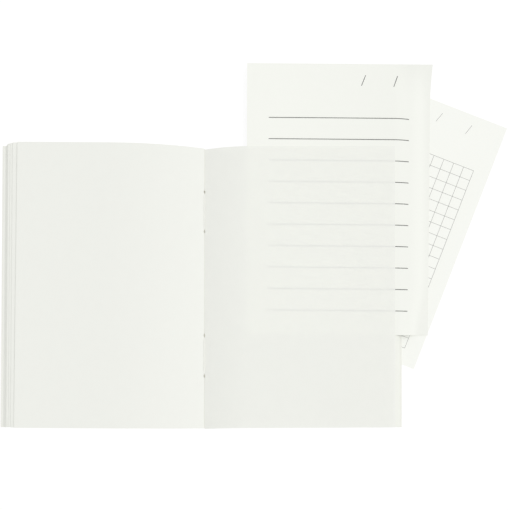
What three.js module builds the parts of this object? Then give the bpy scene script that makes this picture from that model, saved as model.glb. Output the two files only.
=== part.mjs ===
// Thread-sewn notebook lying open at the middle of a signature, with two loose guide sheets.
// Millimetres, +Z up. The origin is on the table under the gutter, halfway up the page.
// +X points to the right-hand page, +Y to the head of the page.
import * as THREE from "three";

// Page and paper
const pageWidth = 100;
const pageHeight = 148;
const leafThickness = 0.1;
const signatureThickness = 0.82;
const signatureAir = 0.03;
const leavesPerSide = 4;
const layerGap = 0.02;

// Binding
const clothThickness = 0.2;
const coverThickness = 0.45;
const endpaperThickness = 0.15;
const coverSquare = 0.8;
const coverForeSquare = { front: 0.75, back: 1.1 };
const clothLapWidth = 5;
const clothBendGap = 0.4;
const clothEdgeMargin = 0.2;
const clothHeadInset = 0.8;
const glueHeadInset = 2;
const middleGap = 0.2;
const foldGap = 0.1;
const backJointGap = 0.05;

// How far each signature stops short of the trimmed page width, outermost signature first. It is
// negative where the leaves reach past it: the right-hand block lies a little further out
const leftTakeUp = [0.5, 0.35, 0.2, 0.05, 0, 0.65, 1.35];
const rightTakeUp = [-0.5, -0.7, -0.65];
const leftLeafTakeUp = 3.1;
const rightLeafTakeUp = -0.45;
const leafStep = 0.05;

// Valley in which the leaves go down to the gutter
const leftValley = { width: 52, power: 2.3 };
const rightValley = { width: 22, power: 1.8 };
const valleySteps = 9;

// Sewing: four stations up the spine, and a stitch along the open fold between each outer pair
const stations = [49.9, 28.9, -26.2, -47.7];
const threadDiameter = 0.36;
const threadSides = 8;
const stitchInset = 1.6;
const stitchPairs = [
  { name: "centre_stitch_head", from: 0, to: 1 },
  { name: "centre_stitch_tail", from: 2, to: 3 },
];
const grooveWidth = 0.6;
const grooveClearance = 0.06;

// Loose guide sheets, each given by its middle on the page plan and its turn, clockwise positive.
// The lined one lies under the top right-hand leaf, the grid one on the table under the back cover
const guideThickness = 0.12;
const linedSheet = { width: 96.8, height: 143, x: 70.8, y: 45.6, turn: 0.5 };
const gridSheet = { width: 95, height: 138.2, x: 92.07, y: 37.49, turn: 21.45 };

const paperWhite = finish(0xf0f1eb, 0.85);
const coverWhite = finish(0xeceadf, 0.8);
const guideWhite = finish(0xf6f6f2, 0.75);
const clothWhite = finish(0xe6e3d6, 0.95);
const glueWhite = finish(0xe2dfcf, 0.6);
const threadWhite = finish(0xf7f6f0, 0.7);

function finish(color, roughness) {
  return new THREE.MeshStandardMaterial({ color, roughness, metalness: 0 });
}

const notebook = new THREE.Group();

function addPiece(name, geometry, material) {
  const mesh = new THREE.Mesh(geometry, material);
  mesh.name = name;
  notebook.add(mesh);
  return mesh;
}

// A flat layer from xInner to xOuter, measured away from the gutter on one side (-1 left, 1 right)
function slab(side, xInner, xOuter, bottom, top, length) {
  const geometry = new THREE.BoxGeometry(xOuter - xInner, length, top - bottom);
  return geometry.translate((side * (xInner + xOuter)) / 2, 0, (bottom + top) / 2);
}

// A layer whose section in the XZ plane runs along lower and upper edges, extruded up the page
function bentLayer(side, distances, lower, upper, length) {
  const outline = new THREE.Shape();
  distances.forEach((d, i) => {
    const place = [side * d, lower(d)];
    if (i === 0) outline.moveTo(...place);
    else outline.lineTo(...place);
  });
  [...distances].reverse().forEach((d) => outline.lineTo(side * d, upper(d)));
  outline.closePath();
  const geometry = new THREE.ExtrudeGeometry(outline, { depth: length, bevelEnabled: false });
  return geometry.rotateX(Math.PI / 2).translate(0, length / 2, 0);
}

// Height share of the valley: 0 at the gutter, 1 where the leaves lie flat
function rise(valley, distance) {
  const near = Math.max(0, 1 - distance / valley.width);
  return 1 - near ** valley.power;
}

// Levels of one half, from the table upwards. One half has a guide sheet under its top leaf
function stackHalf(takeUps, hasGuide) {
  const levels = { signatures: [], leaves: [] };
  let height = clothThickness + layerGap;
  const layer = (thickness, air = layerGap) => {
    const made = { bottom: height, top: height + thickness };
    height += thickness + air;
    return made;
  };
  levels.cover = layer(coverThickness);
  levels.endpaper = layer(endpaperThickness);
  takeUps.forEach((_, i) => {
    const last = i === takeUps.length - 1;
    levels.signatures.push(layer(signatureThickness, last ? layerGap : signatureAir));
  });
  for (let leaf = leavesPerSide; leaf >= 1; leaf -= 1) {
    if (hasGuide && leaf === 1) levels.guide = layer(guideThickness);
    levels.leaves[leaf - 1] = layer(leafThickness);
  }
  levels.top = levels.leaves[0].top;
  return levels;
}

const left = stackHalf(leftTakeUp, false);
const right = stackHalf(rightTakeUp, true);
const foldLevel = left.signatures[0].bottom;

// Where a layer is rooted along the spine: as far from the gutter as it lies below the top leaf
const rootDistance = (half, layer) => half.top + middleGap - (layer.bottom + layer.top) / 2;

const leafFoldBottom = (leaf) => foldLevel + (leavesPerSide - leaf) * (leafThickness + layerGap);

// Sample distances shared by all the layers of a half, so that their facets never cross
function valleySamples(half, valley, start) {
  const roots = half.signatures.map((layer) => rootDistance(half, layer));
  const nearest = Math.max(...roots);
  const even = Array.from({ length: valleySteps }, (_, i) => {
    const share = (i + 1) / valleySteps;
    return nearest + (valley.width - nearest) * share;
  });
  return [start, ...[...roots].reverse(), ...even].filter((d, i) => i === 0 || d > start + 1e-6);
}

function buildSignatures(half, side, valley, takeUps, firstNumber, numberStep) {
  half.signatures.forEach((layer, i) => {
    const name = `signature_${String(firstNumber + numberStep * i).padStart(2, "0")}`;
    const root = rootDistance(half, layer);
    const foreEdge = root + pageWidth - takeUps[i];
    const edge = (height) => (d) => foldLevel + (height - foldLevel) * rise(valley, d);
    const plate = slab(side, valley.width + backJointGap, foreEdge, layer.bottom, layer.top, pageHeight);
    addPiece(name, plate, paperWhite);
    const samples = valleySamples(half, valley, root);
    const back = bentLayer(side, samples, edge(layer.bottom), edge(layer.top), pageHeight);
    addPiece(`${name}_back`, back, paperWhite);
  });
}

function buildLeaves(half, side, valley, takeUp, sideName) {
  half.leaves.forEach((layer, i) => {
    const fold = leafFoldBottom(i + 1);
    const lower = (d) => fold + (layer.bottom - fold) * rise(valley, d);
    const upper = (d) => lower(d) + leafThickness;
    const foreEdge = pageWidth - takeUp + i * leafStep;
    const samples = [...valleySamples(half, valley, foldGap), foreEdge];
    const leaf = bentLayer(side, samples, lower, upper, pageHeight);
    addPiece(`${sideName}_leaf_${i + 1}`, leaf, paperWhite);
  });
}

function buildCover(half, side, sideName) {
  const root = rootDistance(half, half.cover);
  const foreEdge = root + pageWidth + coverForeSquare[sideName];
  const coverHeight = pageHeight + 2 * coverSquare;
  const cover = slab(side, root, foreEdge, half.cover.bottom, half.cover.top, coverHeight);
  addPiece(`${sideName}_cover`, cover, coverWhite);
  const endpaper = slab(
    side, root, root + pageWidth, half.endpaper.bottom, half.endpaper.top, pageHeight);
  addPiece(`${sideName}_endpaper`, endpaper, paperWhite);
  const lapStart = root + coverThickness / 2 + clothEdgeMargin + clothBendGap;
  const lapLength = coverHeight - 2 * clothHeadInset;
  const lap = slab(side, lapStart, lapStart + clothLapWidth, 0, clothThickness, lapLength);
  addPiece(`${sideName}_cloth_lap`, lap, clothWhite);
}

// The spine strip runs under both cover roots, and its laps go on past the bend
const clothLeft = -(rootDistance(left, left.cover) + coverThickness / 2 + clothEdgeMargin);
const clothRight = rootDistance(right, right.cover) + coverThickness / 2 + clothEdgeMargin;
const clothLength = pageHeight + 2 * coverSquare - 2 * clothHeadInset;
const clothMiddle = (clothLeft + clothRight) / 2;
const spineCloth = new THREE.BoxGeometry(clothRight - clothLeft, clothLength, clothThickness);
addPiece("spine_cloth", spineCloth.translate(clothMiddle, 0, clothThickness / 2), clothWhite);

// The glue layer under the folds has a groove for each link stitch, open at the top
const foldHalf = signatureThickness / 2;
const glueLeft = -(rootDistance(left, left.signatures[0]) + foldHalf);
const glueRight = rootDistance(right, right.signatures[0]) + foldHalf;
const glueBottom = clothThickness + layerGap;
const glueTop = foldLevel - layerGap;
const grooveFloor = glueTop - threadDiameter - 2 * grooveClearance;
const glueEnd = pageHeight / 2 - glueHeadInset;
const glueOutline = new THREE.Shape();
glueOutline.moveTo(-glueEnd, glueBottom);
glueOutline.lineTo(glueEnd, glueBottom);
glueOutline.lineTo(glueEnd, glueTop);
stations.forEach((y) => {
  glueOutline.lineTo(y + grooveWidth / 2, glueTop);
  glueOutline.lineTo(y + grooveWidth / 2, grooveFloor);
  glueOutline.lineTo(y - grooveWidth / 2, grooveFloor);
  glueOutline.lineTo(y - grooveWidth / 2, glueTop);
});
glueOutline.lineTo(-glueEnd, glueTop);
glueOutline.closePath();
const glue = new THREE.ExtrudeGeometry(glueOutline, { depth: glueRight - glueLeft, bevelEnabled: false });
glue.applyMatrix4(new THREE.Matrix4().makeBasis(
  new THREE.Vector3(0, 1, 0), new THREE.Vector3(0, 0, 1), new THREE.Vector3(1, 0, 0)));
addPiece("spine_glue", glue.translate(glueLeft, 0, 0), glueWhite);

// Link stitches: short threads across the folds, one in each groove
const linkRadius = threadDiameter / 2;
const linkLeft = -rootDistance(left, left.signatures[0]);
const linkRight = rootDistance(right, right.signatures[0]);
stations.forEach((y, i) => {
  const link = new THREE.CylinderGeometry(linkRadius, linkRadius, linkRight - linkLeft, threadSides);
  link.rotateZ(Math.PI / 2);
  link.translate((linkLeft + linkRight) / 2, y, grooveFloor + grooveClearance + linkRadius);
  addPiece(`link_stitch_${i + 1}`, link, threadWhite);
});

buildCover(left, -1, "front");
buildCover(right, 1, "back");
buildSignatures(left, -1, leftValley, leftTakeUp, 1, 1);
const signatureTotal = leftTakeUp.length + 1 + rightTakeUp.length;
buildSignatures(right, 1, rightValley, rightTakeUp, signatureTotal, -1);
buildLeaves(left, -1, leftValley, leftLeafTakeUp, "left");
buildLeaves(right, 1, rightValley, rightLeafTakeUp, "right");

// Stitches that show in the open fold, lying on the innermost sheet
const foldTop = leafFoldBottom(1) + leafThickness;
stitchPairs.forEach(({ name, from, to }) => {
  const head = stations[from] - stitchInset;
  const tail = stations[to] + stitchInset;
  const stitch = new THREE.CylinderGeometry(linkRadius, linkRadius, head - tail, threadSides);
  stitch.rotateY(Math.PI / threadSides);
  addPiece(name, stitch.translate(0, (head + tail) / 2, foldTop + layerGap + linkRadius), threadWhite);
});

// Guide sheets, each flat on the leaf or the table below it
function buildGuide(name, sheet, layer) {
  const mesh = addPiece(name, new THREE.BoxGeometry(sheet.width, sheet.height, guideThickness), guideWhite);
  mesh.position.set(sheet.x, sheet.y, (layer.bottom + layer.top) / 2);
  mesh.rotation.z = THREE.MathUtils.degToRad(-sheet.turn);
}
buildGuide("lined_guide_sheet", linedSheet, right.guide);
buildGuide("grid_guide_sheet", gridSheet, { bottom: 0, top: guideThickness });

export default notebook;
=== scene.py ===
"""A thread-sewn notebook of thin white paper, lying open, with a lined and a grid guide sheet.

Lengths in this script are millimetres, and mesh() turns them into metres. +X points to the
right-hand page, +Y to the head of the page and +Z up. The gutter is at x = 0 on the table.
"""

import bpy
import numpy as np
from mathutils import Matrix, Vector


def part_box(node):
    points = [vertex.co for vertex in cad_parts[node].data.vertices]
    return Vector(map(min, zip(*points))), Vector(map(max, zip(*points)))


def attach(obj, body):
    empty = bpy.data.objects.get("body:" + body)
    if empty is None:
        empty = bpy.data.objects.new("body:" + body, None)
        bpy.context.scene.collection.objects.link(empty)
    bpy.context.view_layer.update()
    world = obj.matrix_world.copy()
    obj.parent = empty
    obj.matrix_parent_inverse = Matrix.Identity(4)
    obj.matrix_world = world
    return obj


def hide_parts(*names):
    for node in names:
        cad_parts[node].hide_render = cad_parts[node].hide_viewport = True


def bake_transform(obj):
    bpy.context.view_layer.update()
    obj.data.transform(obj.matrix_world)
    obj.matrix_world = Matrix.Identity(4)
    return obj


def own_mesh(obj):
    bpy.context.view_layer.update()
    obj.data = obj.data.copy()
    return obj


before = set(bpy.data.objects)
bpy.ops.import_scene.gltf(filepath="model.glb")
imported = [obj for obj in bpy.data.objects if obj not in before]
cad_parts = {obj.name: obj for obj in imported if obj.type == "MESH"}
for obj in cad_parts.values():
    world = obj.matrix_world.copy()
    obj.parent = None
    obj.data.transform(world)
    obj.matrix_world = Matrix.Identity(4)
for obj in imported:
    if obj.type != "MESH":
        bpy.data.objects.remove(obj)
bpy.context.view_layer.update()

MM = 0.001

# Page, paper and binding
PAGE_WIDTH = 100.0
PAGE_HALF = 74.0
LEAF = 0.1
LEAF_IN_SIGNATURE = 0.088
LEAVES_IN_SIGNATURE = 8
SIGNATURE = 0.82
AIR = 0.02
OPEN_LEAF = 0.09
OPEN_LEAVES = (1, 2, 3, 4)
OPEN_LEAF_STEP = 0.06
COVER_LOW, COVER_HIGH = 0.22, 0.67
ENDPAPER_LOW, ENDPAPER_HIGH = 0.69, 0.84
COVER_HALF_HEIGHT = 74.8
CLOTH = 0.2
CLOTH_EDGE = 0.425
CLOTH_LAP_BEND = 1.2
CLOTH_LAP_FLAT = (2.6, 4.2, 5.82)
CLOTH_BLEND = (0.05, 0.95)
CARD_BEVEL, ENDPAPER_BEVEL = 0.1, 0.03

# The gutter: where the folds lie, how they are stacked, and the gap that the closed halves leave
FOLD_LEVEL = 0.86
FOLD_PITCH = 0.12
FOLD_DROP = 1.2
FOLD_THICKNESS = 0.06
FOLD_TROUGH = 0.05
GUTTER_GAP = 0.22
MIDDLE_GAP = 0.2

# What fills the signatures' backs, and how flat a leaf's back would get when a half closes,
# which press() does not use
CORE_INSET = 0.12
CORE_FILL = 0.97
PRESSED = 0.03

# Sewing stations, the holes in the fold and the thread
STATIONS = (49.9, 28.9, -26.2, -47.7)
HOLES = tuple(station + FOLD_DROP for station in STATIONS)
HOLE_HALF_WIDTH = 0.16
HOLE_HALF_LENGTH = 0.75
HOLE_ROWS = np.array([-1.4, -0.75, -0.4, 0.0, 0.4, 0.75, 1.4])
STITCH = {"radius": 0.2, "pitch": 1.1, "inset": 1.45, "low": 1.36, "rise": 0.22, "ramp": 2.4}
LINK = {"radius": 0.15, "pitch": -1.0, "inset": 0.02}
THREAD_SIDES = 12

# How far the head edge of the covers and of the cloth draws in at the gutter, and over what width
HEAD_DIP, HEAD_DIP_REACH = 2.2, 34.0

# How paper lies: how far its surface settles, where its waves fade out, and where its outer part
# sinks
SETTLE = 0.06
WAVE_END, WAVE_FADE = PAGE_WIDTH + 8.0, 30.0
SINK_START, SINK_REACH = PAGE_WIDTH - 9.0, 6.0

# Points along the paper, the cores, the cloth and the cards, then across them, and how far those
# across crowd to the gutter
ROWS, CORE_ROWS, CLOTH_ROWS, CARD_ROWS = 25, 13, 30, 16
FLAT_STEPS, BACK_STEPS, PAGE_STEPS, CARD_STEPS = 14, 22, 40, 20
BACK_EASE, PAGE_EASE, CARD_EASE = 1.5, 1.6, 2.0

# How much the leaves of a signature differ at their fore-edges, in their rows and in their slant
UNEVEN_FORE, UNEVEN_ROWS, UNEVEN_SLANT = 0.03, 0.05, 0.0006

# The two halves: side, height of the top leaf, valley by the gutter, and what lies in each. A page
# lies by its drop towards the tail at the gutter, its offset, its tilt per mm and its stretch, and
# its tail half gets shorter towards the fore-edge by its pinch
LEFT = {
    "name": "left",
    "side": -1,
    "top": 7.26,
    "valley": 52.0,
    "power": 2.3,
    "drop": 0.68,
    "offset": -0.42,
    "tilt": 0.0061,
    "stretch": 1.0024,
    "pinch": 0.0,
    "page_edge": 97.14,
    "page_slant": -0.0052,
    "cover": "front",
    "cover_square": 0.75,
    "cover_slant": 0.0,
    "sunk": 0.055,
    "leaves": {1: 7.16, 2: 7.04, 3: 6.92, 4: 6.80},
    "signatures": {number: 0.86 + 0.85 * (number - 1) for number in range(1, 8)},
}
RIGHT = {
    "name": "right",
    "side": 1,
    "top": 4.0,
    "valley": 22.0,
    "power": 1.8,
    "drop": 0.85,
    "offset": -0.66,
    "tilt": 0.0,
    "stretch": 1.001,
    "pinch": 0.0055,
    "page_edge": 100.31,
    "page_slant": 0.0026,
    "cover": "back",
    "cover_square": 1.15,
    "cover_slant": 0.0036,
    "sunk": 0.0,
    "leaves": {1: 3.90, 2: 3.64, 3: 3.52, 4: 3.40},
    "signatures": {11: 0.86, 10: 1.71, 9: 2.56},
}

# Fore-edges of the signatures, from the lowest leaf to the highest, and how they slant per mm
# from tail to head
FORE_EDGES = {
    1: (106.15, 105.45, -0.003),
    2: (105.35, 104.7, -0.002),
    3: (104.6, 104.05, -0.001),
    4: (103.95, 103.35, 0.0),
    5: (103.25, 102.6, 0.0),
    6: (101.3, 101.15, 0.0),
    7: (99.75, 99.6, 0.0),
    9: (101.85, 101.1, 0.001),
    10: (102.75, 102.0, 0.001),
    11: (103.4, 102.85, 0.002),
}

# Guide sheets: size, middle on the page plan, turn in degrees, the level of the sheet, how its free
# side bends down, narrows and widens, and how far its print is moved. The lined one lies under the
# top leaf, the grid one on the table under the back cover
GUIDE = 0.12
GUIDE_COLUMNS, GUIDE_ROWS = 81, 61
LINED = {"width": 97.6, "height": 143.0, "x": 71.2, "y": 45.6, "turn": -0.5, "low": 3.76,
         "sag": 3.5, "taper": 0.85, "flare": 0.42, "print": 0.4}
GRID = {"width": 95.0, "height": 138.2, "x": 92.07, "y": 37.49, "turn": -21.45, "low": 0.0,
        "sag": 0.0, "taper": 0.0, "flare": 0.0, "print": 0.0}
BEND = {"start": PAGE_WIDTH + 0.75, "reach": 12.0, "further": 6.2, "foot": 0.2, "head": 0.13,
        "depth": 1.24, "power": 1.6, "knee": 0.76, "ease": 0.96}

# Light: the surroundings' strength, the lamp, and the floor
SKY = 0.70
LAMP_STRENGTH, LAMP_SPREAD, LAMP_TILT = 1.12, 26.0, (-4.0, 36.0, 0.0)
FLOOR_HALF = 2500.0
FLOOR_WHITE, FLOOR_SHARE = 1.06, 0.85

rng = np.random.default_rng(7)


def place_camera():
    """Close above the right-hand page, looking almost straight down, with the lens shifted up."""
    data = bpy.data.cameras.new("camera")
    data.lens = 34.67
    data.sensor_width = 36.0
    data.shift_y = 0.16
    data.clip_start = 0.005
    data.clip_end = 20.0
    camera = bpy.data.objects.new("camera", data)
    camera.location = (26.78 * MM, -30.59 * MM, 261.0 * MM)
    camera.rotation_euler = (np.radians(0.82), 0.0, 0.0)
    bpy.context.scene.collection.objects.link(camera)
    bpy.context.scene.camera = camera


# Materials
class Value:
    """An output socket that adds its Math nodes when it is used in an expression."""

    def __init__(self, tree, socket):
        self.tree = tree
        self.socket = socket

    def math(self, operation, *others):
        inputs = dict(enumerate((self, *others)))
        return self.tree.node("ShaderNodeMath", {"operation": operation}, inputs)

    def flipped(self, operation, first):
        return self.tree.node("ShaderNodeMath", {"operation": operation}, {0: first, 1: self})

    def __add__(self, other):
        return self.math("ADD", other)

    __radd__ = __add__

    def __sub__(self, other):
        return self.math("SUBTRACT", other)

    def __rsub__(self, other):
        return self.flipped("SUBTRACT", other)

    def __mul__(self, other):
        return self.math("MULTIPLY", other)

    __rmul__ = __mul__

    def __truediv__(self, other):
        return self.math("DIVIDE", other)

    def __lt__(self, other):
        return self.math("LESS_THAN", other)

    def __gt__(self, other):
        return self.math("GREATER_THAN", other)

    def __abs__(self):
        return self.math("ABSOLUTE")

    def rounded(self):
        return self.math("ROUND")

    def maximum(self, other):
        return self.math("MAXIMUM", other)


class Tree:
    """The nodes of the world or of a material, all made by one method."""

    def __init__(self, owner):
        owner.use_nodes = True
        self.node_tree = owner.node_tree

    def node(self, kind, settings=None, inputs=None, output=0):
        """Adds a node with its settings and socket values, and returns one of its outputs."""
        made = self.node_tree.nodes.new(kind)
        for name, value in (settings or {}).items():
            if name == "stops":
                ramp = made.color_ramp.elements
                for place, (position, level) in enumerate(value):
                    stop = ramp[place] if place < len(ramp) else ramp.new(position)
                    stop.position = position
                    stop.color = (level, level, level, 1.0)
            else:
                setattr(made, name, value)
        for name, value in (inputs or {}).items():
            self.feed(made.inputs[name], value)
        return Value(self, made.outputs[output])

    def feed(self, socket, value):
        if isinstance(value, Value):
            self.node_tree.links.new(value.socket, socket)
        else:
            socket.default_value = value

    def background_rays(self):
        """1 for the rays that show the background: straight, mirrored or through a clear piece."""
        camera, mirrored, through = (self.node("ShaderNodeLightPath", output=f"Is {kind} Ray")
                                     for kind in ("Camera", "Glossy", "Transmission"))
        return camera.maximum(mirrored).maximum(through)


class Finish(Tree):
    """One material: its nodes and its Principled shader."""

    def __init__(self, name, roughness, **constants):
        self.material = bpy.data.materials.new(name)
        super().__init__(self.material)
        self.shader = self.node_tree.nodes["Principled BSDF"]
        self.set("Roughness", roughness)
        for socket, value in constants.items():
            self.set(socket.replace("_", " "), value)

    def set(self, name, value):
        self.feed(self.shader.inputs[name], value)

    def mix_surface(self, share, other):
        """Shows the share of another shader's socket in place of the Principled one."""
        shaders = {0: share, 1: Value(self, self.shader.outputs[0]), 2: other}
        surface = self.node_tree.nodes["Material Output"].inputs["Surface"]
        self.feed(surface, self.node("ShaderNodeMixShader", inputs=shaders))

    def place(self):
        return self.node("ShaderNodeTexCoord", output="Object")

    def component(self, vector, axis):
        return self.node("ShaderNodeSeparateXYZ", inputs={0: vector}, output=axis)

    def noise(self, vector, scale, detail=2.0, roughness=0.5):
        inputs = {"Vector": vector, "Scale": scale, "Detail": detail, "Roughness": roughness}
        return self.node("ShaderNodeTexNoise", inputs=inputs, output="Fac")

    def stretched(self, vector, factors, turn=0.0):
        inputs = {"Vector": vector, "Scale": factors, "Rotation": (0.0, 0.0, turn)}
        return self.node("ShaderNodeMapping", inputs=inputs)

    def mix(self, share, first, second):
        first, second = ((*colour, 1.0) if isinstance(colour, tuple) else colour
                         for colour in (first, second))
        return self.node("ShaderNodeMix", {"data_type": "RGBA"}, {0: share, 6: first, 7: second}, 2)

    def levels(self, value, *stops):
        return self.node("ShaderNodeValToRGB", {"stops": stops}, {"Fac": value})

    def bump(self, height, distance):
        inputs = {"Height": height, "Distance": distance * MM, "Strength": 1.0}
        self.set("Normal", self.node("ShaderNodeBump", inputs=inputs))


def shade(colour, factor):
    """A colour made lighter or darker by a factor."""
    return tuple(channel * factor for channel in colour)


# Colours of the papers, of the light that the top leaf scatters, and of the ink
PAPER = (0.868, 0.877, 0.829)
COVER_CARD = (0.85, 0.855, 0.80)
LINED_PAPER = (0.926, 0.937, 0.883)
# How dark the lined sheet's painted shade gets
LINED_PAINTED_SHADE = 0.945
GRID_PAPER = (0.941, 0.951, 0.903)
# Top leaf: painted lighter than the pages, painted light for what the sheet below sends back
TOP_LEAF_PAINTED_LIGHT_PAPER = (0.958, 0.965, 0.925)
TOP_LEAF_ALPHA = 0.9
TOP_LEAF_SCATTER = 0.11
TOP_LEAF_GLOW = (0.92, 0.92, 0.93)
# Painted shade in the crease: the folds' paper, darker than the pages
CREASE_PAINTED_SHADE = (0.81, 0.815, 0.76)
# Upright trimmed edges: partly the paper's own lighter edge, partly painted light against shade
TRIMMED_EDGE_AND_PAINTED_LIGHT = (0.925, 0.93, 0.895)
INK = (0.075, 0.078, 0.072)

# Patterns of the paper, in waves per metre. Fibres have a stretch on each axis and a turn
CLOUDS = 170.0
FIBRES = (((2600.0, 420.0, 900.0), 0.5), ((500.0, 2400.0, 900.0), -0.3))
TOOTH = 4200.0


def paper_ground(finish, colour, grain=0.006, tone=0.008):
    """Paper: soft clouds of its formation, crossing short fibres, and a fine tooth in the bump."""
    place = finish.place()
    clouds = finish.noise(place, CLOUDS, 3.0, 0.6)
    one_way, other_way = (finish.noise(finish.stretched(place, stretch, turn), 1.0)
                          for stretch, turn in FIBRES)
    tooth = finish.noise(place, TOOTH)
    pattern = clouds * 0.5 + one_way * 0.25 + other_way * 0.25
    mottling = finish.levels(pattern, (0.3, 0.0), (0.7, 1.0))
    finish.set("Roughness", 0.72 + mottling * 0.12)
    finish.bump(tooth * 0.5 + one_way * 0.25 + other_way * 0.25, grain)
    return finish.mix(mottling, shade(colour, 1 - tone), shade(colour, 1 + tone))


def make_paper(name, colour, **pattern):
    """A paper or card whose upright faces, its trimmed edges, are lighter: partly the paper's own
    edge tone, partly painted light that lifts their shade.
    """
    finish = Finish(name, 0.78, Specular_IOR_Level=0.2)
    ground = paper_ground(finish, colour, **pattern)
    upright = abs(finish.component(finish.node("ShaderNodeTexCoord", output="Normal"), 2))
    # Painted light, with some real edge tone: upright faces turn to the lighter colour
    trimmed_edge_and_light = finish.levels(upright, (0.3, 1.0), (0.7, 0.0))
    finish.set("Base Color", finish.mix(trimmed_edge_and_light, ground, TRIMMED_EDGE_AND_PAINTED_LIGHT))
    return finish.material


def thin_paper(name, colour):
    """The single top leaf: a little straight light comes through it, and some scattered light, so
    that the sheet below is lit evenly and its lines show faintly."""
    finish = Finish(name, 0.78, Specular_IOR_Level=0.2, Alpha=TOP_LEAF_ALPHA)
    # Painted light: the colour is lighter than the other pages, for light sent back by the sheet
    # below
    finish.set("Base Color", paper_ground(finish, colour))
    glow = finish.node("ShaderNodeBsdfTranslucent", inputs={"Color": (*TOP_LEAF_GLOW, 1.0)})
    finish.mix_surface(TOP_LEAF_SCATTER, glow)
    return finish.material


def segment_mask(u, v, start, end, width):
    """1 where (u, v) is nearer than half the width to the segment from start to end."""
    run = np.array(end) - np.array(start)
    length = float(np.hypot(*run))
    along_u, along_v = run / length
    from_u, from_v = u - start[0], v - start[1]
    along = from_u * along_u + from_v * along_v
    across = abs(from_u * along_v - from_v * along_u)
    return (across < width / 2) * (along > 0.0) * (along < length)


def ruled_mask(position, first, pitch, count, width):
    """1 on each of count lines that start at first and go down by the pitch."""
    step = (first - position) / pitch
    near = abs(step - step.rounded()) * pitch
    return (near < width / 2) * (step > -0.5) * (step < count - 0.5)


# The print, in millimetres from the middle of each sheet: rules or cells, and two short strokes.
# The lined sheet also has painted shade where it bends down and its slope faces the lamp
LINED_RULES = {"first": 42.74, "pitch": 11.285, "count": 10, "left": -37.0, "right": 37.24}
LINED_STROKES = (((13.83, 65.52), (11.64, 59.92)), ((30.71, 65.3), (28.73, 59.53)))
LINED_WIDTH, LINED_STROKE_INK = 0.4, 0.9
# Where the lined sheet's painted shade starts, over what reach, and how dark along it
PAINTED_SHADE_START, PAINTED_SHADE_REACH = -25.0, 70.0
PAINTED_SHADE_STOPS = ((0.0, 0.0), (0.78, 0.45), (0.9, 1.0), (1.0, 0.65))
GRID_AREA = {"right": 38.96, "top": 41.28, "columns": 14, "rows": 18, "cell": 5.649}
GRID_STROKES = (((12.52, 64.05), (10.69, 58.73)), ((29.52, 63.7), (27.74, 58.21)))
GRID_WIDTH, GRID_INK = 0.24, 0.62
GRID_STROKE_WIDTH, GRID_STROKE_INK = 0.26, 0.6
MAP_SCALE = 100.0


def guide_finish(name, colour):
    """A guide sheet's paper, the place on its plan, and the wear of its ink."""
    finish = Finish(name, 0.72, Specular_IOR_Level=0.25)
    ground = paper_ground(finish, colour, grain=0.004, tone=0.005)
    chart = finish.node("ShaderNodeUVMap", {"uv_map": "sheet"})
    u, v = (finish.component(chart, axis) * MAP_SCALE for axis in (0, 1))
    wear = 0.8 + finish.noise(finish.place(), 900.0) * 0.3
    return finish, ground, u, v, wear


def lined_finish():
    """White sheet with dark rules and two short slanting strokes above them. Painted shade darkens
    it towards the side that bends down, whose slope faces the lamp."""
    finish, ground, u, v, wear = guide_finish("lined_guide_print", LINED_PAPER)
    # Painted shade: the paper turns to a darker copy across the side that bends down
    painted_shade = finish.levels((u - PAINTED_SHADE_START) / PAINTED_SHADE_REACH, *PAINTED_SHADE_STOPS)
    ground = finish.mix(painted_shade, ground, shade(LINED_PAPER, LINED_PAINTED_SHADE))
    rules = LINED_RULES
    ink = ruled_mask(v, rules["first"], rules["pitch"], rules["count"], LINED_WIDTH)
    ink = ink * (u > rules["left"]) * (u < rules["right"])
    for start, end in LINED_STROKES:
        ink = ink + segment_mask(u, v, start, end, LINED_WIDTH) * LINED_STROKE_INK
    finish.set("Base Color", finish.mix(ink * wear, ground, INK))
    return finish.material


def grid_finish():
    """White sheet with a grid of thin grey lines, darker where they cross, and two strokes."""
    finish, ground, u, v, wear = guide_finish("grid_guide_print", GRID_PAPER)
    right, top, columns, rows, cell = GRID_AREA.values()
    left, bottom = right - columns * cell, top - rows * cell
    across = ruled_mask(v, top, cell, rows + 1, GRID_WIDTH) * (u > left) * (u < right)
    down = ruled_mask(u, right, cell, columns + 1, GRID_WIDTH) * (v > bottom) * (v < top)
    ink = 1 - (1 - across * GRID_INK) * (1 - down * GRID_INK)
    for start, end in GRID_STROKES:
        ink = ink + segment_mask(u, v, start, end, GRID_STROKE_WIDTH) * GRID_STROKE_INK
    finish.set("Base Color", finish.mix(ink * wear, ground, INK))
    return finish.material


def cloth_finish():
    """Book cloth: a plain weave, over and under, from two crossed rows of threads 0.5 mm apart."""
    finish = Finish("book_cloth", 0.9, Specular_IOR_Level=0.15, Sheen_Weight=0.15)
    place = finish.place()
    waves_per_metre = 0.314 / (0.5 * MM)
    inputs = {"Vector": place, "Scale": waves_per_metre, "Distortion": 0.4, "Detail": 1.0}
    warp, weft = (
        finish.node("ShaderNodeTexWave", {"bands_direction": axis}, inputs, output="Fac")
        for axis in ("X", "Y"))
    weave = warp * weft + (1 - warp) * (1 - weft)
    tone = weave * 0.7 + finish.noise(place, 300.0) * 0.3
    finish.set("Base Color", finish.mix(tone, (0.70, 0.68, 0.60), (0.84, 0.83, 0.77)))
    finish.bump(weave, 0.05)
    return finish.material


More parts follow.
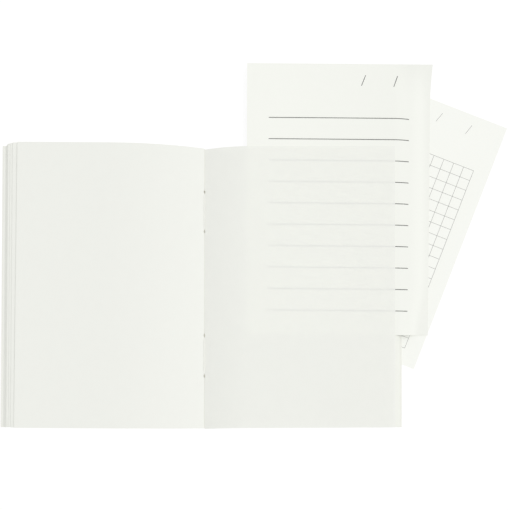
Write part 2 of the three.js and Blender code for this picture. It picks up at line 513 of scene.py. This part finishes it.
def thread_finish():
    """Bleached linen thread: fine fibres along it, slightly shiny where it is waxed."""
    finish = Finish("linen_thread", 0.6, Specular_IOR_Level=0.35, Sheen_Weight=0.2)
    fibres = finish.noise(finish.stretched(finish.place(), (9000.0, 1600.0, 9000.0)), 1.0, 3.0)
    finish.set("Base Color", finish.mix(fibres, (0.9, 0.9, 0.86), (0.985, 0.99, 0.96)))
    finish.set("Roughness", 0.5 + fibres * 0.25)
    finish.bump(fibres, 0.02)
    return finish.material


def glue_finish():
    """Dried white glue with a slightly uneven, satin skin."""
    finish = Finish("spine_glue", 0.45, Specular_IOR_Level=0.4)
    lumps = finish.noise(finish.place(), 700.0, 3.0)
    finish.set("Base Color", finish.mix(lumps, (0.72, 0.70, 0.58), (0.82, 0.81, 0.72)))
    finish.set("Roughness", 0.38 + lumps * 0.2)
    finish.bump(lumps, 0.04)
    return finish.material


# Shapes
def mesh(name, points, faces, material, caps=(), crease=40.0):
    """A mesh object at the origin from points in millimetres, an array of faces and lists of points
    for its end caps. Edges sharper than the crease's degrees stay sharp; without one, none do."""
    data = bpy.data.meshes.new(name)
    faces = np.asarray(faces).tolist() + [np.asarray(cap).tolist() for cap in caps]
    data.from_pydata((np.asarray(points, float) * MM).tolist(), [], faces)
    data.materials.append(material)
    data.update()
    data.shade_smooth()
    if crease:
        data.set_sharp_from_angle(angle=np.radians(crease))
    made = bpy.data.objects.new(name, data)
    bpy.context.scene.collection.objects.link(made)
    return made


def rise(half, distance):
    """Share of the full height at a distance from the gutter:
    1 - (1 - distance / valley) ** power."""
    near = np.clip(1 - distance / half["valley"], 0, 1)
    return 1 - near ** half["power"]


def cockle(x, y):
    """Slow, shallow waves of a paper block that has taken up some damp, in millimetres:
    0.035 sin(x / 17 + 0.6 sin(y / 31)) sin(y / 24 + 1.1) + 0.02 sin((x + 1.7 y) / 29 + 0.4)."""
    wave = np.sin(x / 17.0 + 0.6 * np.sin(y / 31.0)) * np.sin(y / 24.0 + 1.1)
    return 0.035 * wave + 0.02 * np.sin((x + 1.7 * y) / 29.0 + 0.4)


def grid_points(*coordinates):
    """One row for each point, from grids of its coordinates."""
    return np.stack(coordinates, axis=-1).reshape(-1, len(coordinates))


def grid_faces(index):
    """Four-sided faces between the points of an index grid."""
    corners = (index[:-1, :-1], index[1:, :-1], index[1:, 1:], index[:-1, 1:])
    return np.stack(corners, axis=-1).reshape(-1, 4)


def closed_layer(x, y, low, high):
    """Points and faces of a closed layer over a grid whose x grows along the first index."""
    if x[-1, 0] < x[0, 0]:
        x, y, low, high = (grid[::-1] for grid in (x, y, low, high))
    points = np.concatenate([grid_points(x, y, high), grid_points(x, y, low)])
    index = np.arange(x.size).reshape(x.shape)
    top = grid_faces(index)
    faces = [top, top[:, ::-1] + x.size]
    for edge, turned in ((index[:, 0], False), (index[:, -1], True),
                         (index[0, :], True), (index[-1, :], False)):
        below = edge + x.size
        wall = np.stack([edge[:-1], below[:-1], below[1:], edge[1:]], axis=-1)
        faces.append(wall[:, ::-1] if turned else wall)
    return points, np.concatenate(faces)


def joined(parts):
    """Several sets of points and faces as one."""
    starts = np.cumsum([0] + [len(points) for points, _ in parts[:-1]])
    faces = [faces + start for (_, faces), start in zip(parts, starts)]
    return np.concatenate([points for points, _ in parts]), np.concatenate(faces)


def leaf_rows():
    """Rows along the page, close together where the sewing holes are."""
    holes = np.concatenate([station + HOLE_ROWS for station in HOLES])
    even = np.linspace(-PAGE_HALF, PAGE_HALF, ROWS)
    return np.unique(np.round(np.concatenate([even, holes]), 3))


def leaf_grid(half, start, end, steps, slant=0.0, rows=None, holes=False, ease=1.0):
    """Grid of a leaf: distances run from start to the slanting fore-edge, rows along the page.
    A row lies at y * stretch + offset + tilt * distance - drop * (1 - rise), and the tail's half
    of the page is shorter by pinch * (distance / page width) ** 2."""
    y = leaf_rows() if rows is None else rows
    share = (np.linspace(0, 1, steps) ** ease)[:, None]
    root = np.full_like(y, start)
    if holes:
        for station in HOLES:
            near = np.clip(1 - ((y - station) / HOLE_HALF_LENGTH) ** 2, 0, 1)
            root = root + HOLE_HALF_WIDTH * near ** 0.5
    fore = end + slant * y
    distance = root + (fore - root) * share
    lift = rise(half, distance)
    placed = y * half["stretch"] + half["offset"] + half["tilt"] * distance
    placed = placed - np.minimum(y, 0) * half["pinch"] * (distance / PAGE_WIDTH) ** 2
    return distance, placed - half["drop"] * (1 - lift), lift


def layer_heights(half, distance, y, lift, level, fold_level):
    """Height of a surface that is level far out and comes down to fold_level at the gutter:
    fold_level + (level - fold_level + share * (waves * fade - SETTLE)) * lift, where share is the
    level by the half's top and fade goes to 0 at the fore-edge."""
    share = level / half["top"]
    waves = cockle(half["side"] * distance, y) * np.clip((WAVE_END - distance) / WAVE_FADE, 0, 1)
    return fold_level + (level - fold_level + share * (waves - SETTLE)) * lift


def bent_leaf(half, low, thickness, start, end, steps, fold_low, constant=False, sunk=0.0, **grid):
    """A leaf that follows its half's curve. Its thickness is constant, or it tapers to nothing at
    the fold. Its outer part sinks: both heights are multiplied by 1 - sunk * step ** 2, where step
    runs from 0 to 1 over SINK_REACH."""
    distance, y, lift = leaf_grid(half, start, end, steps, **grid)
    bottom = layer_heights(half, distance, y, lift, low, fold_low)
    if constant:
        top = bottom + thickness
    else:
        top = layer_heights(half, distance, y, lift, low + thickness, fold_low)
    kept = 1 - sunk * np.clip((distance - SINK_START) / SINK_REACH, 0, 1) ** 2
    return closed_layer(half["side"] * distance, y, bottom * kept, top * kept)


def dress(piece, body, slot, *nodes):
    """Puts a finished piece on its body and hides the CAD nodes it stands for. The slot is not
    used.
    """
    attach(piece, body)
    if nodes:
        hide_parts(*nodes)


def press(piece, level, keep=PRESSED):
    """Gives a piece a mesh of its own. The level and keep are not used."""
    level * MM
    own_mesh(piece)


def make_signature(half, number, low, paper):
    """Eight leaves: their flat part is one piece, and each bent back is its own thin piece."""
    name = f"signature_{number:02d}"
    root = half["top"] + MIDDLE_GAP - (low + SIGNATURE / 2) + AIR
    first, last, slant = FORE_EDGES[number]
    pitch = SIGNATURE / LEAVES_IN_SIGNATURE
    flats = []
    for leaf in range(LEAVES_IN_SIGNATURE):
        bottom = low + leaf * pitch + (pitch - LEAF_IN_SIGNATURE) / 2
        fore = first + (last - first) * leaf / (LEAVES_IN_SIGNATURE - 1)
        fore = fore + rng.uniform(-UNEVEN_FORE, UNEVEN_FORE)
        rows = np.linspace(-PAGE_HALF, PAGE_HALF, ROWS) + rng.uniform(-UNEVEN_ROWS, UNEVEN_ROWS)
        rows = np.clip(rows, -PAGE_HALF, PAGE_HALF)
        tilt = slant + rng.uniform(-UNEVEN_SLANT, UNEVEN_SLANT)
        flats.append(bent_leaf(half, bottom, LEAF_IN_SIGNATURE, half["valley"] + AIR, fore,
                               FLAT_STEPS, FOLD_LEVEL, sunk=half["sunk"], slant=tilt, rows=rows))
        shape = bent_leaf(half, bottom, LEAF_IN_SIGNATURE, root, half["valley"], BACK_STEPS,
                          FOLD_LEVEL, rows=rows, ease=BACK_EASE)
        back = mesh(f"{name}_back_leaf_{leaf + 1}", *shape, paper)
        press(back, bottom + LEAF_IN_SIGNATURE / 2)
        dress(back, name, "page_paper", f"{name}_back")
    dress(mesh(f"{name}_leaves", *joined(flats), paper), name, "page_paper", name)
    make_core(half, name, low + SIGNATURE, root, paper)


def make_core(half, name, level, root, paper):
    """What fills a signature's back between the thin leaves. It is a wedge from the level of the
    folds up to the signature's own curve, hidden inside the block."""
    rows = np.linspace(-PAGE_HALF + CORE_INSET, PAGE_HALF - CORE_INSET, CORE_ROWS)
    distance, y, lift = leaf_grid(half, root + CORE_INSET, half["valley"] - CORE_INSET, BACK_STEPS,
                                  rows=rows, ease=BACK_EASE)
    top = layer_heights(half, distance, y, lift, level - AIR, FOLD_LEVEL)
    bottom = np.full_like(top, FOLD_LEVEL - AIR / 2)
    core = mesh(f"{name}_back_core", *closed_layer(half["side"] * distance, y, bottom, top), paper)
    press(core, level, keep=min(1.0, CORE_FILL * SIGNATURE / (level - FOLD_LEVEL)))
    dress(core, name, "page_paper", f"{name}_back")


def make_open_leaves(half, leaves, paper):
    """Leaves of the open signature on one side, each down to the gutter."""
    word = half["name"]
    for leaf in leaves:
        low = half["leaves"][leaf]
        fold_low = FOLD_LEVEL + (OPEN_LEAVES[-1] - leaf) * FOLD_PITCH
        fore = half["page_edge"] + (leaf - 1) * OPEN_LEAF_STEP
        shape = bent_leaf(half, low, OPEN_LEAF, GUTTER_GAP, fore, PAGE_STEPS, fold_low,
                          constant=True, slant=half["page_slant"], holes=True, ease=PAGE_EASE)
        sheet = mesh(f"{word}_page_{leaf}", *shape, paper)
        press(sheet, low + LEAF / 2)
        body = f"{word}_leaf_1" if leaf == 1 else f"{word}_leaves"
        dress(sheet, body, "page_paper", f"{word}_leaf_{leaf}")


def make_top_right_leaf(material):
    """The single leaf over the lined sheet: one thin surface, so that it lets the lines through."""
    low = RIGHT["leaves"][1]
    distance, y, lift = leaf_grid(RIGHT, GUTTER_GAP, RIGHT["page_edge"], PAGE_STEPS,
                                  RIGHT["page_slant"], holes=True, ease=PAGE_EASE)
    fold_level = FOLD_LEVEL + (OPEN_LEAVES[-1] - 1) * FOLD_PITCH
    height = layer_heights(RIGHT, distance, y, lift, low + OPEN_LEAF, fold_level)
    index = np.arange(distance.size).reshape(distance.shape)
    sheet = mesh("right_page_1", grid_points(distance, y, height), grid_faces(index), material)
    press(sheet, low + LEAF / 2)
    dress(sheet, "right_leaf_1", "page_paper", "right_leaf_1")


def make_folds(paper):
    """The bottoms of the four open folios: a shallow trough z = level + depth * (x / half) ** 2
    between the leaves of both sides, with gaps at the sewing holes."""
    ends = [PAGE_HALF]
    for station in HOLES:
        ends += [station + HOLE_HALF_LENGTH, station - HOLE_HALF_LENGTH]
    ends.append(-PAGE_HALF)
    half_width = GUTTER_GAP + FOLD_THICKNESS
    for folio in OPEN_LEAVES:
        level = FOLD_LEVEL + (OPEN_LEAVES[-1] - folio) * FOLD_PITCH - AIR
        parts = []
        for head, tail in zip(ends[::2], ends[1::2]):
            rows = np.linspace(tail, head, 6) - FOLD_DROP
            across, y = np.meshgrid(np.linspace(-1.0, 1.0, 7), rows, indexing="ij")
            bottom = level + FOLD_TROUGH * across ** 2
            parts.append(closed_layer(across * half_width, y, bottom, bottom + FOLD_THICKNESS))
        dress(mesh(f"open_fold_{folio}", *joined(parts), paper), "spine", "page_paper")


def dipped(x, y, y_half):
    """Rows of a cover or of the cloth, whose head edge draws in towards the gutter:
    y - HEAD_DIP * (1 - |x| / HEAD_DIP_REACH) ** 2 * (y + y_half) / (2 * y_half)."""
    dip = HEAD_DIP * np.clip(1 - np.abs(x) / HEAD_DIP_REACH, 0, 1) ** 2
    return y - dip * (y + y_half) / (2 * y_half)


def slab(name, x_range, y_half, z_range, material, bevel, slant):
    """A card or paper layer with a small bevel on its corners, whose outer edge slants and whose
    head edge dips towards the gutter: x = inner + (outer + slant * (y - y_half) - inner) *
    share ** CARD_EASE, and y is dipped."""
    share = (np.linspace(0, 1, CARD_STEPS) ** CARD_EASE)[:, None]
    y = np.linspace(-y_half, y_half, CARD_ROWS)[None, :]
    inner, outer = x_range
    x = inner + (outer + slant * (y - y_half) - inner) * share
    low, high = (np.full(x.shape, level) for level in z_range)
    made = mesh(name, *closed_layer(x, dipped(x, y, y_half), low, high), material)
    modifier = made.modifiers.new("soft edges", "BEVEL")
    modifier.width = bevel * MM
    modifier.segments = 2
    modifier.limit_method = "ANGLE"
    return made


def cover_root(half):
    """Distance of a cover's hinge line from the gutter, from where its closed half lies."""
    return half["top"] + MIDDLE_GAP - (COVER_LOW + COVER_HIGH) / 2


def make_cover(half, card, paper, cloth):
    """A cover's card, its endpaper and the lap of the cloth on it."""
    side, word = half["side"], half["cover"]
    root = cover_root(half)
    page_edge = root + PAGE_WIDTH
    card_edge = page_edge + half["cover_square"]
    cover = slab(f"{word}_cover_card", (side * root, side * card_edge), COVER_HALF_HEIGHT,
                 (COVER_LOW, COVER_HIGH), card, CARD_BEVEL, half["cover_slant"])
    dress(cover, f"{word}_cover", "cover_card", f"{word}_cover")
    inside = slab(f"{word}_endpaper_sheet", (side * root, side * page_edge), PAGE_HALF,
                  (ENDPAPER_LOW, ENDPAPER_HIGH), paper, ENDPAPER_BEVEL, half["cover_slant"])
    dress(inside, f"{word}_cover", "page_paper", f"{word}_endpaper")
    make_cloth_lap(half, root, cloth)


def cloth_piece(name, x, cloth):
    """A length of the cloth as high as the page, with columns at x."""
    x, y = np.meshgrid(x, np.linspace(-PAGE_HALF, PAGE_HALF, CLOTH_ROWS), indexing="ij")
    layer = closed_layer(x, dipped(x, y, PAGE_HALF), np.zeros_like(x), np.full_like(x, CLOTH))
    return mesh(name, *layer, cloth)


def make_cloth_strip(cloth):
    """The strip of book cloth under the folds, between the edges that the laps start from."""
    x = np.linspace(-cover_root(LEFT) - CLOTH_EDGE, cover_root(RIGHT) + CLOTH_EDGE, 15)
    dress(cloth_piece("spine_cloth_strip", x, cloth), "spine", "spine_cloth", "spine_cloth")


def make_cloth_lap(half, root, cloth):
    """The lap starts at the spine strip's edge."""
    side, word = half["side"], half["cover"]
    start = root + CLOTH_EDGE
    bend = start + np.linspace(0, CLOTH_LAP_BEND, 13)
    flat = root + np.array(CLOTH_LAP_FLAT)
    lap = cloth_piece(f"{word}_cloth_lap_bend", side * np.concatenate([bend, flat]), cloth)
    near, far = (side * (start + step) * MM for step in CLOTH_BLEND)
    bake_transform(lap)
    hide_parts(f"{word}_cloth_lap")


def sheet_sag(x, along):
    """Share of its sag by which the lined sheet has bent down at x, a share along its height:
    bend - max(bend - knee, 0) ** 2 / ease, where bend = depth * step ** power and step runs from 0
    to 1 over the reach at its foot and over a longer one further up. It levels out at its head."""
    reach = BEND["reach"] + BEND["further"] * np.clip(along / BEND["foot"], 0, 1)
    bend = BEND["depth"] * np.clip((x - BEND["start"]) / reach, 0, 1) ** BEND["power"]
    level_out = np.sin(np.pi / 2 * np.clip((1 - along) / BEND["head"], 0, 1))
    return level_out * (bend - np.maximum(bend - BEND["knee"], 0) ** 2 / BEND["ease"])


def make_guide(name, sheet, material):
    """A guide sheet: a grid that follows the shallow waves of the leaves round it, in step with its
    height above the table, with a map of its own plane for the print. Its right edge draws in
    towards the foot by up to its taper, and its left edge goes out towards the head by up to its
    flare. The lined sheet lies between leaves."""
    turn = np.radians(sheet["turn"])
    across, along = np.meshgrid(np.linspace(0, 1, GUIDE_COLUMNS), np.linspace(0, 1, GUIDE_ROWS),
                                indexing="ij")
    u = (across - 0.5) * sheet["width"]
    v = (along - 0.5) * sheet["height"]
    pulled = u - sheet["taper"] * (1 - along) * np.clip(across * 2 - 1, 0, 1)
    pulled = pulled - sheet["flare"] * along ** 3 * np.clip(1 - across * 2, 0, 1)
    x = sheet["x"] + pulled * np.cos(turn) - v * np.sin(turn)
    y = sheet["y"] + pulled * np.sin(turn) + v * np.cos(turn)
    low = layer_heights(RIGHT, x, y, 1.0, sheet["low"], FOLD_LEVEL)
    low = low - sheet["sag"] * sheet_sag(x, along)
    made = mesh(name, *closed_layer(x, y, low, low + GUIDE), material)
    chart = made.data.uv_layers.new(name="sheet")
    corners = np.empty(len(made.data.loops), dtype=np.int64)
    made.data.loops.foreach_get("vertex_index", corners)
    flat = grid_points(u + sheet["print"], v) / MAP_SCALE
    chart.data.foreach_set("uv", np.concatenate([flat, flat])[corners].ravel())
    if sheet is LINED:
        press(made, sheet["low"] + GUIDE / 2)
    dress(made, name, "guide_paper", name)


def twisted_thread(name, path, thread, across, material):
    """A two-ply thread along a path of points: its section's radius is
    radius * (0.82 + 0.18 * |cos(angle - 2 pi * length / pitch)|), so that two strands wind round.
    The angle starts at a right angle to the path and to the direction across it."""
    step = np.gradient(path, axis=0)
    tangent = step / np.linalg.norm(step, axis=1, keepdims=True)
    side = np.cross(tangent, across)
    side /= np.linalg.norm(side, axis=1, keepdims=True)
    up = np.cross(side, tangent)
    length = np.concatenate([[0], np.cumsum(np.linalg.norm(np.diff(path, axis=0), axis=1))])
    angle = np.linspace(0, 2 * np.pi, THREAD_SIDES, endpoint=False)
    wound = np.abs(np.cos(angle - 2 * np.pi * length[:, None] / thread["pitch"]))
    reach = (thread["radius"] * (0.82 + 0.18 * wound))[..., None]
    round_path = np.cos(angle)[:, None] * side[:, None] + np.sin(angle)[:, None] * up[:, None]
    points = path[:, None] + reach * round_path
    index = np.arange(wound.size).reshape(wound.shape)
    closed = np.concatenate([index, index[:, :1]], axis=1)
    return mesh(name, points.reshape(-1, 3), grid_faces(closed), material,
                caps=(index[0][::-1], index[-1]), crease=None)


def make_threads(material):
    """One stitch in each pair of holes: it comes up at one hole, lies in the fold and goes down at
    the other, at x = 0.03 sin(y / 3.1 + 0.5) and z = low + rise * sin(pi / 2 * end)
    + 0.012 sin(1.3 y), where end grows from 0 to 1 over the ramp at both ends. Short links cross
    the folds below, at y = station + 0.04 sin(1.1 x)."""
    for word, head, tail in (("head", *STATIONS[:2]), ("tail", *STATIONS[2:])):
        head, tail = head - STITCH["inset"], tail + STITCH["inset"]
        y = np.linspace(head, tail, 110)
        end = np.clip(np.minimum(head - y, y - tail) / STITCH["ramp"], 0, 1)
        z = STITCH["low"] + STITCH["rise"] * np.sin(end * np.pi / 2) + 0.012 * np.sin(y * 1.3)
        x = 0.03 * np.sin(y / 3.1 + 0.5)
        stitch = twisted_thread(f"centre_thread_{word}", grid_points(x, y, z), STITCH,
                                (1.0, 0.0, 0.0), material)
        dress(stitch, "spine", "thread", f"centre_stitch_{word}")
    for number, station in enumerate(STATIONS, 1):
        low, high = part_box(f"link_stitch_{number}")
        x = np.linspace(low[0] / MM + LINK["inset"], high[0] / MM - LINK["inset"], 50)
        y = station + 0.04 * np.sin(x * 1.1)
        z = np.full_like(x, (low[2] + high[2]) / 2 / MM)
        link = twisted_thread(f"link_thread_{number}", grid_points(x, y, z), LINK,
                              (0.0, -1.0, 0.0), material)
        dress(link, "spine", "thread", f"link_stitch_{number}")


def light_scene():
    """White surroundings, one broad soft light from the right, and a floor that shows white."""
    scene = bpy.context.scene
    scene.view_settings.view_transform = "Standard"
    scene.cycles.diffuse_bounces = 12
    scene.cycles.max_bounces = 16
    scene.world = bpy.data.worlds.new("surroundings")
    sky = Tree(scene.world)
    background = sky.node_tree.nodes["Background"]
    sky.feed(background.inputs["Color"], (1.0, 1.0, 1.0, 1.0))
    sky.feed(background.inputs["Strength"], sky.background_rays() * (1 - SKY) + SKY)

    lamp = bpy.data.lights.new("soft_light", "SUN")
    lamp.energy = LAMP_STRENGTH
    lamp.angle = np.radians(LAMP_SPREAD)
    light = bpy.data.objects.new("soft_light", lamp)
    light.rotation_euler = np.radians(LAMP_TILT)
    scene.collection.objects.link(light)

    corners = FLOOR_HALF * np.array([(-1, -1, 0), (1, -1, 0), (1, 1, 0), (-1, 1, 0)])
    mesh("floor", corners, [(0, 1, 2, 3)], floor_finish())


def floor_finish():
    """A white floor. The background's rays see it brighter than it is lit, so that it reads as
    plain white and keeps only the contact shadow."""
    finish = Finish("floor_white", 0.9, Specular_IOR_Level=0.0, Base_Color=(0.9, 0.9, 0.9, 1.0))
    white = finish.node("ShaderNodeEmission", inputs={"Strength": FLOOR_WHITE})
    finish.mix_surface(finish.background_rays() * FLOOR_SHARE, white)
    return finish.material


place_camera()
page_paper = make_paper("page_paper", PAPER)
top_leaf_paper = thin_paper("top_leaf_paper", TOP_LEAF_PAINTED_LIGHT_PAPER)
cover_card = make_paper("cover_card", COVER_CARD, grain=0.012, tone=0.014)
book_cloth = cloth_finish()
linen_thread = thread_finish()

for half in (LEFT, RIGHT):
    make_cover(half, cover_card, page_paper, book_cloth)
    for number, low in half["signatures"].items():
        make_signature(half, number, low, page_paper)
make_open_leaves(LEFT, OPEN_LEAVES, page_paper)
make_open_leaves(RIGHT, OPEN_LEAVES[1:], page_paper)
make_top_right_leaf(top_leaf_paper)
# The folds get a darker paper: painted shade along the gutter's crease
make_folds(make_paper("crease_painted_shade", CREASE_PAINTED_SHADE))
make_cloth_strip(book_cloth)
make_guide("lined_guide_sheet", LINED, lined_finish())
make_guide("grid_guide_sheet", GRID, grid_finish())
make_threads(linen_thread)

spine_glue = glue_finish()
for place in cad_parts["spine_glue"].material_slots:
    place.material = spine_glue

light_scene()
